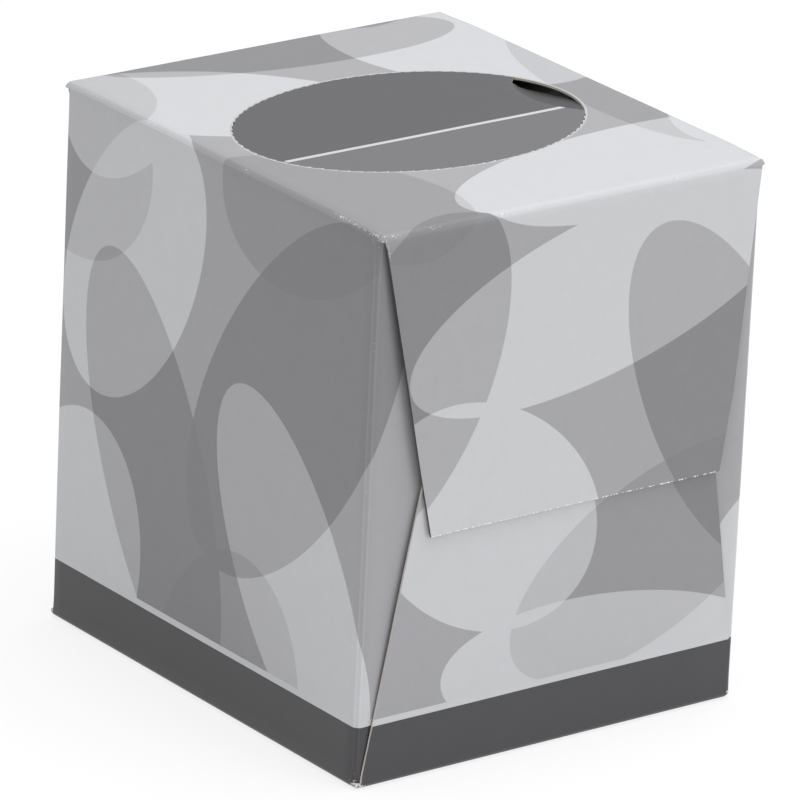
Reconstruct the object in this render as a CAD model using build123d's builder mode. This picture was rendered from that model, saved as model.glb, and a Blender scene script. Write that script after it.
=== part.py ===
from build123d import *
from math import atan2, degrees
import os

# A cube tissue box: one folded paperboard carton, still sealed, with the clip of tissues inside it.
# X runs across the closures, Y along the sleeve, Z up. The origin is the middle of the base.
os.makedirs("parts", exist_ok=True)

# Carton, outside sizes
carton_width = 103.5
carton_length = 118.0
carton_height = 126.5

# Board, folds and glue
board = 0.5
fold_radius = 1.2
glue = 0.15
fold_land = 1.0
flap_side_gap = 0.6
seam_flap_height = 15.0

# Closure flaps: the lower one reaches up behind the upper one by the lap
top_flap_length = 71.0
top_flap_taper_left = 14.9
top_flap_taper_right = 7.1
flap_lap = 16.5
bottom_flap_taper_left = 14.0
bottom_flap_taper_right = 9.5
bottom_flap_shoulder = 13.0
dust_flap_gap = 12.0
dust_flap_taper = 9.0

# Tear-out panel in the top
opening_radius_x = 42.0
opening_radius_y = 30.5
opening_offset_x = -2.0
opening_offset_y = -1.5
perforation_pitch = 2.8
perforation_cut = 2.0
perforation_width = 0.3
perforation_slant = 9.0

# Thumb tab, pressed in at the right-hand end of the tear-out panel
tab_arc_radius = 17.9
tab_width = 9.4
tab_hinge_inset = 1.6
tab_angle = 20.0
tab_bend_radius = 1.5

# Film window under the opening
film = 0.1
film_edge_gap = 1.0
film_margin = 8.0
film_slit_length = 58.0
film_slit_width = 0.6
film_dip = 4.6
film_dip_start = 14.0
film_dip_return = 4.5
film_bend_radius = 2.0
film_glue_width = 4.0
film_glue_inset = 0.6

# Tissue clip, bent over into an arch
clip_side_gap = 2.0
clip_end_gap = 2.6
clip_head_room = 13.0
clip_shoulder = 30.0
clip_slot_width = 8.0

# Glue spots on the closures, as shares of the flap that they hold
spot_height = 18.0
spot_width = 20.0
lap_glue_width = 56.0
lap_glue_height = 9.0

# Worked out from the sizes above
half_width = carton_width / 2
half_length = carton_length / 2
middle = board / 2
layer = board + glue
path_radius = fold_radius - middle
side_x = half_width - middle
top_z = carton_height - middle
sleeve_half = half_length - 2 * layer - fold_radius
flap_start = sleeve_half - fold_land
flap_root = half_width - flap_side_gap
seam_root = half_width - layer - flap_side_gap
top_flap_end = carton_height - top_flap_length
bottom_flap_end = top_flap_end + flap_lap
dust_flap_tip = dust_flap_gap / 2
opening_end = opening_offset_x + opening_radius_x
tab_arc_x = opening_end - tab_width + tab_arc_radius
tab_hinge_x = opening_end - tab_width + tab_hinge_inset
tab_side_reach = tab_arc_radius
past = 1.0


def closing_layers(side):
    """The three layers at one end of the sleeve, as the Y of each layer's middle, outermost first."""
    outer = half_length - middle
    return [side * (outer - depth * layer) for depth in range(3)]


def top_flap(side):
    """The outer flap: it carries the top panel over the end fold and hangs down the face."""
    face_y = closing_layers(side)[0]
    with BuildPart() as flap:
        with BuildSketch(Plane.YZ):
            with BuildLine():
                FilletPolyline(
                    (side * flap_start, top_z),
                    (face_y, top_z),
                    (face_y, top_flap_end),
                    radius=path_radius,
                )
            trace(line_width=board)
        extrude(amount=half_width, both=True)
        with BuildSketch(Plane.XZ):
            with BuildLine():
                Polyline(
                    (-flap_root, carton_height + past),
                    (-flap_root, carton_height - fold_radius),
                    (-flap_root + top_flap_taper_left, top_flap_end),
                    (flap_root - top_flap_taper_right, top_flap_end),
                    (flap_root, carton_height - fold_radius),
                    (flap_root, carton_height + past),
                    close=True,
                )
            make_face()
        extrude(amount=half_length + past, both=True, mode=Mode.INTERSECT)
    return flap.part


def bottom_flap(side):
    """The middle layer: it rises from the base and goes up behind the outer flap."""
    face_y = closing_layers(side)[1]
    with BuildPart() as flap:
        with BuildSketch(Plane.YZ):
            with BuildLine():
                FilletPolyline(
                    (side * flap_start, middle),
                    (face_y, middle),
                    (face_y, bottom_flap_end),
                    radius=path_radius,
                )
            trace(line_width=board)
        extrude(amount=half_width, both=True)
        with BuildSketch(Plane.XZ):
            with BuildLine():
                Polyline(
                    (-flap_root, -past),
                    (-flap_root, fold_radius),
                    (-flap_root + bottom_flap_taper_left, bottom_flap_end),
                    (seam_root - bottom_flap_taper_right, bottom_flap_end),
                    (seam_root, bottom_flap_shoulder),
                    (seam_root, -past),
                    close=True,
                )
            make_face()
        extrude(amount=half_length + past, both=True, mode=Mode.INTERSECT)
    return flap.part


def dust_flap(side, hand):
    """The innermost layer: it folds in from a side panel, left where hand is -1."""
    face_y = closing_layers(side)[2]
    tip_x = hand * dust_flap_tip
    with BuildPart() as flap:
        with BuildSketch(Plane.XY.offset(fold_radius)):
            with BuildLine():
                FilletPolyline(
                    (hand * side_x, side * flap_start),
                    (hand * side_x, face_y),
                    (tip_x, face_y),
                    radius=path_radius,
                )
            trace(line_width=board)
        extrude(amount=carton_height - 2 * fold_radius)
        with BuildSketch(Plane.XZ):
            with BuildLine():
                Polyline(
                    (hand * (half_width + past), 0),
                    (hand * (half_width - fold_radius), 0),
                    (tip_x, dust_flap_taper),
                    (tip_x, carton_height - dust_flap_taper),
                    (hand * (half_width - fold_radius), carton_height),
                    (hand * (half_width + past), carton_height),
                    close=True,
                )
            make_face()
        extrude(amount=half_length + past, both=True, mode=Mode.INTERSECT)
    return flap.part


flaps = []
for end in (-1, 1):
    flaps.append(top_flap(end))
    flaps.append(bottom_flap(end))
    flaps.append(dust_flap(end, -1))
    flaps.append(dust_flap(end, 1))

# The thumb tab is the lens where the opening's oval meets an arc, bent down at a straight hinge.
tab_plane = Plane(
    origin=(tab_hinge_x, 0, carton_height),
    x_dir=Vector(1, 0, 0).rotate(Axis.Y, tab_angle),
    z_dir=Vector(0, 0, 1).rotate(Axis.Y, tab_angle),
)
with BuildPart() as thumb_tab:
    with BuildSketch(Plane.XZ):
        with BuildLine():
            bent_tip = Vector(tab_width, 0).rotate(Axis.Z, -tab_angle)
            FilletPolyline(
                (tab_hinge_x - fold_radius, top_z),
                (tab_hinge_x, top_z),
                (tab_hinge_x + bent_tip.X, top_z + bent_tip.Y),
                radius=tab_bend_radius,
            )
        trace(line_width=board)
    extrude(amount=tab_side_reach, both=True)
    with BuildSketch(tab_plane):
        with Locations((opening_offset_x - tab_hinge_x, opening_offset_y)):
            Ellipse(opening_radius_x - perforation_width, opening_radius_y - perforation_width)
        with Locations((tab_arc_x - tab_hinge_x, opening_offset_y)):
            Circle(tab_arc_radius - perforation_width, mode=Mode.INTERSECT)
    extrude(amount=tab_width, both=True, mode=Mode.INTERSECT)

with BuildPart() as carton:
    # The sleeve: one strip from the free edge of the right side round to the seam flap inside it.
    with BuildSketch(Plane.XZ):
        with BuildLine():
            FilletPolyline(
                (side_x, 0),
                (side_x, top_z),
                (-side_x, top_z),
                (-side_x, middle),
                (side_x - layer, middle),
                (side_x - layer, seam_flap_height),
                radius=path_radius,
            )
        trace(line_width=board)
    extrude(amount=sleeve_half, both=True)
    for flap in flaps:
        add(flap)

    # The thumb notch, cut clear from its hinge outwards.
    with BuildSketch(Plane.XY.offset(carton_height)):
        with Locations((opening_offset_x, opening_offset_y)):
            Ellipse(opening_radius_x, opening_radius_y)
        with Locations((tab_arc_x, opening_offset_y)):
            Circle(tab_arc_radius, mode=Mode.INTERSECT)
        with Locations((tab_hinge_x - half_width, opening_offset_y)):
            Rectangle(carton_width, carton_length, mode=Mode.SUBTRACT)
    extrude(amount=-layer, mode=Mode.SUBTRACT)
    add(thumb_tab.part)

    # Slanted cuts follow the oval, and stop where the thumb notch has opened it.
    with BuildLine(Plane.XY.offset(carton_height), mode=Mode.PRIVATE):
        rim = EllipticalCenterArc(
            (opening_offset_x, opening_offset_y),
            opening_radius_x,
            opening_radius_y,
            start_angle=0,
            arc_size=360,
        )
    cut_count = round(rim.length / perforation_pitch)
    notch_centre = Vector(tab_arc_x, opening_offset_y, carton_height)
    clear_radius = tab_arc_radius + perforation_pitch / 2
    cut_places = []
    for step in range(cut_count):
        spot = rim.position_at(step / cut_count)
        if (spot - notch_centre).length > clear_radius:
            heading = rim.tangent_at(step / cut_count)
            cut_places.append((spot, degrees(atan2(heading.Y, heading.X)) + perforation_slant))
    with BuildSketch(Plane.XY.offset(carton_height)):
        for spot, turn in cut_places:
            with Locations((spot.X, spot.Y)):
                Rectangle(perforation_cut, perforation_width, rotation=turn)
    extrude(amount=-layer, mode=Mode.SUBTRACT)
carton.part.label = "carton"

# The film lies flat under the top panel, and dips where the thumb tab presses on it.
film_half = half_width - board - film_edge_gap
film_reach = opening_radius_y + abs(opening_offset_y) + film_margin
film_z = carton_height - layer - film / 2
dip_x = opening_end
with BuildPart() as window_film:
    with BuildSketch(Plane.XZ):
        with BuildLine():
            FilletPolyline(
                (-film_half, film_z),
                (dip_x - film_dip_start, film_z),
                (dip_x, film_z - film_dip),
                (dip_x + film_dip_return, film_z),
                (film_half, film_z),
                radius=film_bend_radius,
            )
        trace(line_width=film)
    extrude(amount=film_reach, both=True)
    with BuildSketch(Plane.XY.offset(carton_height - board)):
        with Locations((opening_offset_x - (film_dip_start + film_dip_return) / 2, opening_offset_y)):
            SlotOverall(film_slit_length, film_slit_width)
    extrude(amount=-layer, mode=Mode.SUBTRACT)
window_film.part.label = "window_film"

# Glue holds the film on three sides of the opening and in a strip beyond the thumb tab.
glue_left = -film_half + film_glue_inset
glue_right = dip_x - film_dip_start - film_bend_radius
glue_y = film_reach - film_glue_inset - film_glue_width / 2
far_left = dip_x + film_dip_return + film_bend_radius
far_right = film_half - film_glue_inset
with BuildPart() as film_glue:
    with BuildSketch(Plane.XY.offset(carton_height - board)):
        with Locations(((glue_left + glue_right) / 2, glue_y), ((glue_left + glue_right) / 2, -glue_y)):
            Rectangle(glue_right - glue_left, film_glue_width)
        with Locations((glue_left + film_glue_width / 2, 0)):
            Rectangle(film_glue_width, 2 * glue_y)
        with Locations(((far_left + far_right) / 2, 0)):
            Rectangle(far_right - far_left, 2 * glue_y)
    extrude(amount=-glue)
film_glue.part.label = "film_glue"

# The clip of interfolded tissues, folded over once so that it stands as an arch on its two legs.
clip_half = half_width - board - clip_side_gap
clip_depth = half_length - 3 * layer - clip_end_gap
clip_height = carton_height - board - clip_head_room
clip_slot_height = clip_height - clip_half + clip_slot_width / 2
with BuildPart() as tissue_stack:
    with BuildSketch(Plane.XZ):
        with Locations((0, board + clip_height / 2)):
            arch = Rectangle(2 * clip_half, clip_height)
        fillet(arch.vertices().group_by(Axis.Y)[-1], radius=clip_shoulder)
        with Locations((0, board)):
            SlotOverall(2 * clip_slot_height, clip_slot_width, rotation=90, mode=Mode.SUBTRACT)
    extrude(amount=clip_depth, both=True)
tissue_stack.part.label = "tissue_stack"

# The long seam: the flap inside the right side is stuck to it all along the sleeve.
seam_low = fold_radius + fold_land
seam_high = seam_flap_height - fold_land
with BuildPart() as seam_glue:
    with BuildSketch(Plane.XZ):
        with Locations((half_width - board - glue / 2, (seam_low + seam_high) / 2)):
            Rectangle(glue, seam_high - seam_low)
    extrude(amount=sleeve_half - fold_land, both=True)
seam_glue.part.label = "seam_glue"


def closure_glue(side):
    """Glue on one closure: a strip at the lap, spots under the lower flap and taller ones under the upper."""
    outer_face = side * (half_length - board)
    lap_z = (top_flap_end + bottom_flap_end) / 2
    spot_x = (dust_flap_tip + half_width) / 2 - dust_flap_taper
    low_z = top_flap_end / 2
    high_z = (bottom_flap_end + carton_height) / 2
    with BuildPart() as spots:
        with BuildSketch(Plane.XZ.offset(-outer_face)):
            with Locations((0, lap_z)):
                Rectangle(lap_glue_width, lap_glue_height)
        extrude(amount=side * glue)
        with BuildSketch(Plane.XZ.offset(-outer_face)):
            with Locations((-spot_x, high_z), (spot_x, high_z)):
                Rectangle(spot_width, spot_height)
        extrude(amount=side * (board + 2 * glue))
        with BuildSketch(Plane.XZ.offset(-side * (half_length - layer - board))):
            with Locations((-spot_x, low_z), (spot_x, low_z)):
                Rectangle(spot_width, spot_height)
        extrude(amount=side * glue)
    return spots.part


front_glue = closure_glue(-1)
front_glue.label = "front_glue"
back_glue = closure_glue(1)
back_glue.label = "back_glue"

export_step(carton.part, "parts/carton.step")
export_step(window_film.part, "parts/window_film.step")
export_step(film_glue.part, "parts/film_glue.step")
export_step(tissue_stack.part, "parts/tissue_stack.step")
export_step(seam_glue.part, "parts/seam_glue.step")
export_step(front_glue, "parts/front_glue.step")
export_step(back_glue, "parts/back_glue.step")
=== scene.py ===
# %% [markdown]
# # A sealed cube tissue box
#
# The real thing is one printed sheet of thin paperboard. It is cut, scored and folded into a sleeve,
# and its end flaps are glued over each other. The top holds an oval panel that tears out along a
# perforation, and somebody has already pushed the thumb tab in a little. Inside stand the tissues.
#
# We build it the same way: one sheet, folded by numbers, with its print laid out on the flat blank.

# %% Load the measured frame
import math

import bmesh
import bpy
from mathutils import Matrix, Vector, noise
from mathutils.geometry import delaunay_2d_cdt


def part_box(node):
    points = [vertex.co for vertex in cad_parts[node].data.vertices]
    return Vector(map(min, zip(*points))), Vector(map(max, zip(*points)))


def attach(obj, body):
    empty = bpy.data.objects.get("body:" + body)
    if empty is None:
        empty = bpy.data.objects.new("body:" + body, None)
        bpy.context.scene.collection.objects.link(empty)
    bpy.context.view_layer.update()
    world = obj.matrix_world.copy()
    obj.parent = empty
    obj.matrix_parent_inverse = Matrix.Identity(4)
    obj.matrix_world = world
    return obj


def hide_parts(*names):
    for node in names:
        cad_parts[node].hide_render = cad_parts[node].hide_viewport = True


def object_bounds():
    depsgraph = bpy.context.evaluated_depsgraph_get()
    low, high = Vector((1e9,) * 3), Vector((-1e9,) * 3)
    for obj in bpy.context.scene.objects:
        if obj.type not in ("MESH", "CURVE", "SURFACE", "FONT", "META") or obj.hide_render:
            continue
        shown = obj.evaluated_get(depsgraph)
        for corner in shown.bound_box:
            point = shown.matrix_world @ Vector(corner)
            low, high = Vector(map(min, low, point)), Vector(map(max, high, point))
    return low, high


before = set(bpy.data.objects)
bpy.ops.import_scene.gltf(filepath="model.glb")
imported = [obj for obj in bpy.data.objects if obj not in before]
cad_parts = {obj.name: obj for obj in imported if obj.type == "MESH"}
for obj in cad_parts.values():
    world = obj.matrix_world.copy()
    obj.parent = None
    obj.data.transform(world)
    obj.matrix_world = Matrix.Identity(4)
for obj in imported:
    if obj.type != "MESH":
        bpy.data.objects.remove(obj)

cad_low, cad_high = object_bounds()
print("frame:", [round(v, 4) for v in cad_low], "to", [round(v, 4) for v in cad_high])

# %% [markdown]
# ## Sizes
#
# Blender works in metres, and the frame already stands where it should, so the outside sizes are read
# from it. The rest are the sizes of the cut blank, written in millimetres and scaled once.

# %% Sizes of the folded carton
MM = 0.001
half_x = (cad_high.x - cad_low.x) / 2
half_y = (cad_high.y - cad_low.y) / 2
height = cad_high.z
board = 0.5 * MM
glue_low, glue_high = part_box("seam_glue")
layer = board + (glue_high.x - glue_low.x)
fold = 1.4 * MM
seam_flap = 15 * MM
flat_x = half_x - fold
sleeve_y = half_y - 2 * layer - fold
print("one layer of board and glue:", round(layer / MM, 3), "mm")

# %% Sizes of the closure flaps and the opening
top_flap_end = height - 71 * MM
bottom_flap_end = top_flap_end + 16.5 * MM
dust_tip = 6 * MM
centre = Vector((-2, -1.5)) * MM
radii = Vector((42, 30.5)) * MM
pitch, cut_length, cut_width = 2.8 * MM, 2.0 * MM, 0.22 * MM
tab_width, tab_arc = 9.4 * MM, 17.9 * MM
tab_centre = Vector((centre.x + radii.x - tab_width + tab_arc, centre.y))
band_height, stripe_height = 14.3 * MM, 1.5 * MM

# %% [markdown]
# ## The sheet, patch by patch
#
# Board bends only at its scores, so every panel is a flat grid and every fold is a narrow strip beside
# it. All patches go into one bmesh. Each vertex is given its place, its place on the flat blank (kept as
# a UV map named `blank`, so that the print runs over the folds), how much handling wears it, and how much
# painted shadow darkens its cut edge where that edge faces down, away from the light.

# %% A place for the sheet, and the helper that adds a patch
sheet = bmesh.new()
blank = sheet.loops.layers.uv.new("blank")
worn = sheet.verts.layers.float.new("worn")
# Per vertex: how much painted shadow darkens its cut edge
edge_shadow_paint = sheet.verts.layers.float.new("edge_shadow_paint")


def add_patch(rows, shade=0.0):
    """Adds a grid of quads. Each entry is (place, (u, v) on the blank, wear).
    shade is how much painted shadow darkens its cut edges."""
    made = []
    for row in rows:
        line = []
        for place, flat, wear in row:
            vertex = sheet.verts.new(place)
            vertex[worn] = wear
            vertex[edge_shadow_paint] = shade
            line.append((vertex, flat))
        made.append(line)
    for low_row, high_row in zip(made, made[1:]):
        for i in range(len(low_row) - 1):
            corners = [low_row[i], low_row[i + 1], high_row[i + 1], high_row[i]]
            face = sheet.faces.new([vertex for vertex, _ in corners])
            for loop, (_, flat) in zip(face.loops, corners):
                loop[blank].uv = flat


def spread(start, end, count):
    """count + 1 even steps from start to end."""
    return [start + (end - start) * i / count for i in range(count + 1)]


def ease(value, start, end):
    """0 before start, 1 after end, and a soft rise between."""
    t = min(max((value - start) / (end - start), 0), 1)
    return t * t * (3 - 2 * t)


# %% [markdown]
# A score crushed into board does not make a clean arc: the outside flattens to a narrow band with a soft
# crease at each side. The fold profile is therefore a quarter circle pulled part of the way to its chord.

# %% The section of one fold
FOLD_STEPS = 6
FLATTEN = 0.45
fold_turns = spread(0, math.pi / 2, FOLD_STEPS)
fold_section = []
for turn in fold_turns:
    share = turn / (math.pi / 2)
    along = math.sin(turn) * (1 - FLATTEN) + share * FLATTEN
    across = math.cos(turn) * (1 - FLATTEN) + (1 - share) * FLATTEN
    fold_section.append((along, across, math.sin(2 * turn)))
fold_path = fold * math.pi / 2
print("fold band:", round(fold_path / MM, 2), "mm of board")

# %% [markdown]
# ## The sleeve
#
# The sleeve's section starts at the free edge of the right side, goes up, over the top, down the left
# side, across the base and ends in the seam flap. Only the top panel is left out here, because it is
# cut. `girth` is the distance along the board from the middle of the top, which is the blank's u.

# %% Section of the sleeve as (x, z, girth, wear)
PANEL_STEPS = 36
side_girth = flat_x + fold_path
side_drop = height - 2 * fold


def corner(cx, cz, sx, sz, start, sign, first):
    """A fold of the sleeve about (cx, cz), towards sx and sz. first is the axis that it leaves from."""
    points = []
    for i, (along, across, wear) in enumerate(fold_section):
        a, b = (along, across) if first == "z" else (across, along)
        girth = start + sign * fold_path * i / FOLD_STEPS
        points.append((cx + sx * fold * a, cz + sz * fold * b, girth, wear))
    return points


FREE_EDGE_WEAR = 1.5 * MM
right_side = []
for z in spread(height - fold, 0, PANEL_STEPS):
    right_side.append((half_x, z, side_girth + height - fold - z, ease(z, FREE_EDGE_WEAR, 0)))
left_side = []
for z in spread(height - fold, fold, PANEL_STEPS):
    left_side.append((-half_x, z, -side_girth - (height - fold - z), 0))
right_fold = corner(flat_x, height - fold, 1, 1, flat_x, 1, "z")
left_fold = corner(-flat_x, height - fold, -1, 1, -flat_x, -1, "z")
base_start = -side_girth - side_drop
base_fold = corner(-flat_x, fold, -1, -1, base_start, -1, "x")
base_start -= fold_path
seam_x = half_x - layer
base = [(x, 0, base_start - (x + flat_x), 0) for x in spread(-flat_x, seam_x - fold, PANEL_STEPS)]
seam_start = base[-1][2]
seam_fold = corner(seam_x - fold, fold, 1, -1, seam_start, -1, "z")
SEAM_STEPS = 5
seam = [(seam_x, z, seam_start - fold_path - z + fold, 0) for z in spread(fold, seam_flap, SEAM_STEPS)]

# %% Draw the sleeve along Y
SLEEVE_STEPS = 44
sleeve_steps = spread(-sleeve_y, sleeve_y, SLEEVE_STEPS)
for section in (right_side, right_fold, left_fold, left_side, base_fold, base, seam_fold, seam):
    rows = []
    for y in sleeve_steps:
        rows.append([(Vector((x, y, z)), (girth, y), wear) for x, z, girth, wear in section])
    add_patch(rows)
print("sleeve faces:", len(sheet.faces))

# %% [markdown]
# ## The closure flaps
#
# At each end there are three layers. The dust flaps fold in first, then the lower flap comes up, and
# the upper flap comes down over both. The upper and lower flaps are drawn by one function, because each
# is a strip that leaves its panel, turns over the end fold and narrows towards its free edge.

# %% Upper and lower flaps
FLAP_STEPS = 40
ACROSS = 40
RIM = 1.2 * MM
LOWER_PRINT_SHIFT = 0.5 * MM


def worn_rim(distance):
    """1 at a cut edge, 0 a rim's width away."""
    return ease(distance, RIM, 0)


def face_blank(x, drop, side):
    """The blank's place for a point of a closure, drop below the top edge's fold."""
    return (x, side * (half_y - fold + fold_path + drop))


def long_flap(side, depth, upward, tip, left_edge, right_edge, roots, lift):
    """side is -1 for the front. depth counts layers from outside. upward is 1 for the flap from the base.
    left_edge and right_edge give x at a height, and lift gives how far the free end stands off. The
    patch's points run along path, whose entries are (y, z, wear, distance along the blank)."""
    face_y = half_y - depth * layer
    turn_y = face_y - fold
    panel_z = 0 if upward == 1 else height
    hinge_z = panel_z + upward * fold
    path = [(y, panel_z, 0, y) for y in spread(sleeve_y, turn_y, 2)[:-1]]
    for i, (along, across, wear) in enumerate(fold_section):
        run = turn_y + fold_path * i / FOLD_STEPS
        path.append((turn_y + fold * along, hinge_z - upward * fold * across, wear, run))
    for z in spread(hinge_z, tip, FLAP_STEPS)[1:]:
        run = turn_y + fold_path + abs(z - hinge_z)
        path.append((face_y, z, 0.9 * worn_rim(abs(z - tip)), run))
    rows = []
    for y, z, wear, run in path:
        row = []
        for i in range(ACROSS + 1):
            share = i / ACROSS
            left = max(roots[0], left_edge(z))
            right = min(roots[1], right_edge(z))
            x = left + (right - left) * share
            rim = 0
            if abs(z - panel_z) > fold:
                rim = max(worn_rim(x - left), worn_rim(right - x))
            stand_off = lift(x, z)
            flat = (x, side * run)
            if upward == 1:
                flat = face_blank(x + LOWER_PRINT_SHIFT, height - fold - z, side)
            row.append((Vector((x, side * (y + stand_off), z)), flat, max(wear, 0.8 * rim)))
        rows.append(row)
    # The upper flap's cut edges face down, away from the light, so they get painted shadow
    add_patch(rows, 1.0 if upward == -1 else 0.0)


def line(z_start, x_start, z_end, x_end):
    """x along a straight edge, as a function of height."""
    return lambda z: x_start + (x_end - x_start) * (z - z_start) / (z_end - z_start)


# %% Outlines of the closure flaps
root_x = 50.4 * MM
upper_tip_left, upper_tip_right = -35.2 * MM, 43.0 * MM
upper_turn_x, upper_turn_z = 46 * MM, top_flap_end + 17 * MM
lower_tip_left, lower_tip_right = -36.4 * MM, 40.2 * MM
shoulder_x, shoulder_z = 49.7 * MM, 13 * MM
upper_left = line(height - fold, -root_x, top_flap_end, upper_tip_left)
upper_right_root = line(height - fold, root_x, upper_turn_z, upper_turn_x)
upper_right_tip = line(upper_turn_z, upper_turn_x, top_flap_end, upper_tip_right)
lower_left = line(fold, -root_x, bottom_flap_end, lower_tip_left)
lower_right_taper = line(shoulder_z, shoulder_x, bottom_flap_end, lower_tip_right)


def upper_right(z):
    """The right edge runs in a little, then turns in more sharply near the free corner."""
    return upper_right_root(z) if z > upper_turn_z else upper_right_tip(z)


def lower_right(z):
    """The right edge goes straight up to its shoulder, then tapers."""
    return shoulder_x if z < shoulder_z else lower_right_taper(z)


# %% How far the free ends stand off
GLUED_X, GLUED_HALF, SPRUNG_HALF = -3 * MM, 18 * MM, 40 * MM
SPRUNG_LENGTH = 16 * MM
MIDDLE_LIFT, CORNER_LIFT = 0.10 * MM, 0.40 * MM


def upper_lift(x, z):
    """The glue holds the middle down, and both free corners spring off a little."""
    near_end = ease(z, top_flap_end + SPRUNG_LENGTH, top_flap_end)
    corners = ease(abs(x - GLUED_X), GLUED_HALF, SPRUNG_HALF)
    return near_end * (MIDDLE_LIFT + CORNER_LIFT * corners)


def flat_lift(x, z):
    """The lower flap is held flat under the upper one."""
    return 0


for side in (-1, 1):
    long_flap(side, 0, -1, top_flap_end, upper_left, upper_right, (-flat_x, flat_x), upper_lift)
    long_flap(side, 1, 1, bottom_flap_end, lower_left, lower_right, (-flat_x, seam_x - fold), flat_lift)
print("faces with the long flaps:", len(sheet.faces))

# %% Rounded corners, where the top and the base run on past the sleeve's end
EAR_WEAR = 0.6


def ear(side, hand, depth, upward):
    """Closes the corner beside a long flap's fold, as crushed board does."""
    turn_y = half_y - depth * layer - fold
    level = height - fold if upward == -1 else fold
    edge_x = flat_x if upward == -1 or hand == -1 else seam_x - fold
    rows = []
    for y in spread(sleeve_y, turn_y, 2)[:-1]:
        row = []
        for i, (along, across, wear) in enumerate(fold_section):
            place = Vector((hand * (edge_x + fold * along), side * y, level - upward * fold * across))
            row.append((place, (hand * (edge_x + fold_path * i / FOLD_STEPS), side * y), wear))
        rows.append(row)
    for turn in fold_turns:
        row = []
        for i, (along, across, wear) in enumerate(fold_section):
            x = edge_x + fold * along * math.cos(turn)
            y = turn_y + fold * along * math.sin(turn)
            place = Vector((hand * x, side * y, level - upward * fold * across))
            row.append((place, (hand * x, side * y), EAR_WEAR))
        rows.append(row)
    add_patch(rows)


for side in (-1, 1):
    for hand in (-1, 1):
        ear(side, hand, 0, -1)
        ear(side, hand, 1, 1)

# %% Dust flaps, folded in from the two sides
DUST_ACROSS = 24
DUST_TAPER = 9 * MM
DUST_BOW, DUST_BOW_WIDTH = 0.7 * MM, 9 * MM
SIDE_WEAR = 0.72


def dust_flap(side, hand):
    """One dust flap, bowed in a little. hand is -1 for the flap on the left side."""
    face_y = half_y - 2 * layer
    path = []
    for along, across, wear in fold_section:
        path.append((hand * (flat_x + fold * across), sleeve_y + fold * along, SIDE_WEAR * wear))
    for x in spread(flat_x, dust_tip, DUST_ACROSS)[1:]:
        path.append((hand * x, face_y - DUST_BOW * ease(flat_x - x, 0, DUST_BOW_WIDTH), 0))
    rows = []
    for number, (x, y, wear) in enumerate(path):
        inset = DUST_TAPER * ease(abs(x), flat_x, dust_tip)
        run = fold_path * min(number, FOLD_STEPS) / FOLD_STEPS + max(flat_x - abs(x), 0)
        row = []
        for share in spread(0, 1, PANEL_STEPS):
            z = fold + inset + (height - 2 * fold - 2 * inset) * share
            flat = (hand * (side_girth + height - fold - z), side * (sleeve_y + run))
            row.append((Vector((x, side * y, z)), flat, wear))
        rows.append(row)
    add_patch(rows)


for side in (-1, 1):
    for hand in (-1, 1):
        dust_flap(side, hand)
print("faces with all flaps:", len(sheet.faces))

# %% [markdown]
# ## The top panel
#
# The top is cut through in two ways. Short slanted cuts follow the oval, with uncut nicks between them,
# and one long cut frees the thumb tab. A triangulation that respects given edges (Blender's constrained
# Delaunay) is the simplest way to put such cuts into a flat panel, because the borders keep the very
# points that the neighbouring patches have.

# %% Outline, cuts and tab as loops of points
def on_oval(angle, inset=0.0):
    x = centre.x + (radii.x - inset) * math.cos(angle)
    y = centre.y + (radii.y - inset) * math.sin(angle)
    return Vector((x, y))


def oval_reach(point):
    """0 at the oval's centre and 1 on its line."""
    return Vector(((point.x - centre.x) / radii.x, (point.y - centre.y) / radii.y)).length


def in_tab(point, margin=0.0):
    """True inside the lens between the oval and the tab's own arc."""
    return (point - tab_centre).length < tab_arc - margin


ARC_SAMPLES = 1440
arc_places = [on_oval(2 * math.pi * i / ARC_SAMPLES) for i in range(ARC_SAMPLES)]
arc_length = [0.0]
for here, there in zip(arc_places, arc_places[1:] + arc_places[:1]):
    arc_length.append(arc_length[-1] + (there - here).length)
perimeter = arc_length[-1]
cut_count = round(perimeter / pitch)
print("perforation:", cut_count, "places round", round(perimeter / MM, 1), "mm")

# %% The slanted cuts
SLANT = math.radians(9)
CUT_OUTLINE = ((-1, -1), (0, -1.2), (1, -1), (1, 1), (0, 1.2), (-1, 1))
first_outside = next(i for i in range(ARC_SAMPLES) if not in_tab(arc_places[i]))
tip_angle = 2 * math.pi * first_outside / ARC_SAMPLES
cut_loops = []
nick_places = []
sample = 0
for number in range(2 * cut_count):
    while arc_length[sample] < perimeter * number / (2 * cut_count):
        sample += 1
    angle = 2 * math.pi * sample / ARC_SAMPLES
    spot = on_oval(angle)
    if in_tab(spot, -pitch / 2):
        continue
    heading = math.atan2(radii.y * math.cos(angle), -radii.x * math.sin(angle))
    if number % 2:
        nick_places.append((spot, heading))
        continue
    turned = Matrix.Rotation(heading + SLANT, 2)
    loop = []
    for along, across in CUT_OUTLINE:
        loop.append(spot + turned @ Vector((along * cut_length / 2, across * cut_width / 2)))
    cut_loops.append(loop)
print("cuts:", len(cut_loops), "nicks:", len(nick_places))

# %% The long cut round the tab, with its short return at the back
TAB_STEPS = 26
RETURN_CUT = 2.4 * MM
RETURN_STEPS, CREASE_STEPS = 3, 16
KERF_ANGLE = 0.012


def on_tab_arc(angle, inset=0.0):
    return tab_centre + (tab_arc - inset) * Vector((math.cos(angle), math.sin(angle)))


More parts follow.
